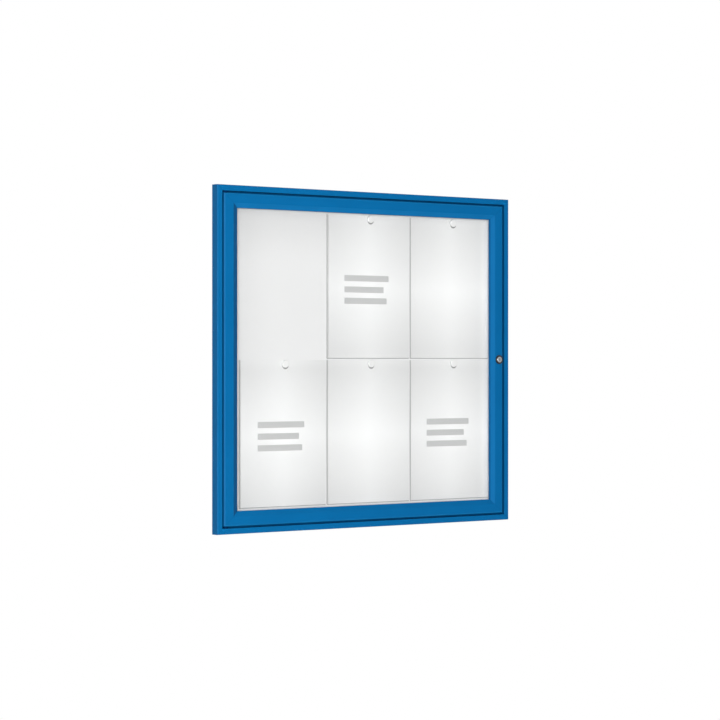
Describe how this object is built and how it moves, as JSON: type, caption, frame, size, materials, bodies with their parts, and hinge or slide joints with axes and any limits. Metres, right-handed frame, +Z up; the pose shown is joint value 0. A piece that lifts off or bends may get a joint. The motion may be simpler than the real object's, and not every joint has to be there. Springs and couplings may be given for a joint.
{
  "type": "notice board display case",
  "caption": "Shallow wall case for notices: mitred metal rim, side-hung clear door on concealed pivots with a cam lock, and a white magnetic back that holds paper sheets under round magnets.",
  "frame": {"origin": "middle of the wall fixing holes, on the wall plane behind the case", "axes": "+X to the right seen from the front, +Y into the wall, +Z up"},
  "size_m": [0.746, 0.023, 0.696],
  "materials": {
    "coated_frame": "satin",
    "corner_key": "satin",
    "fastener": "satin",
    "white_sheet": "satin",
    "backing": "matte",
    "rubber": "matte",
    "bush": "matte",
    "paper": "matte",
    "magnet": "gloss",
    "clear_pane": "polished",
    "black_ring": "satin",
    "bright_lock": "polished"
  },
  "bodies": {
    "case": {"case_top_rail": "coated_frame", "case_bottom_rail": "coated_frame", "case_left_stile": "coated_frame", "case_right_stile": "coated_frame", "case_corner_keys": "corner_key", "steel_back_sheet": "white_sheet", "backing_board": "backing", "door_seal": "rubber", "pivot_bushes": "bush", "strike_plate": "fastener", "strike_screws": "fastener", "sheet_top_middle": "paper", "sheet_top_right": "paper", "sheet_bottom_left": "paper", "sheet_bottom_middle": "paper", "sheet_bottom_right": "paper", "magnet_top_middle": "magnet", "magnet_top_right": "magnet", "magnet_bottom_left": "magnet", "magnet_bottom_middle": "magnet", "magnet_bottom_right": "magnet"},
    "door": {"door_top_rail": "coated_frame", "door_bottom_rail": "coated_frame", "door_hinge_stile": "coated_frame", "door_lock_stile": "coated_frame", "door_corner_keys": "corner_key", "clear_pane": "clear_pane", "glazing_gasket": "rubber", "pivot_pins": "fastener", "lock_bezel": "black_ring", "lock_barrel": "bright_lock", "lock_nut": "fastener"},
    "lock_plug": {"lock_plug": "bright_lock", "lock_cam": "fastener", "cam_screw": "fastener"}
  },
  "joints": [
    {"name": "door_hinge", "type": "hinge", "parent": "case", "child": "door", "pos_m": [-0.3505, -0.014, 0], "axis": [0, 0, -1], "range_deg": [0, 110]},
    {"name": "lock_turn", "type": "hinge", "parent": "door", "child": "lock_plug", "pos_m": [0.3456, -0.02, 0], "axis": [0, -1, 0], "range_deg": [0, 90]}
  ]
}
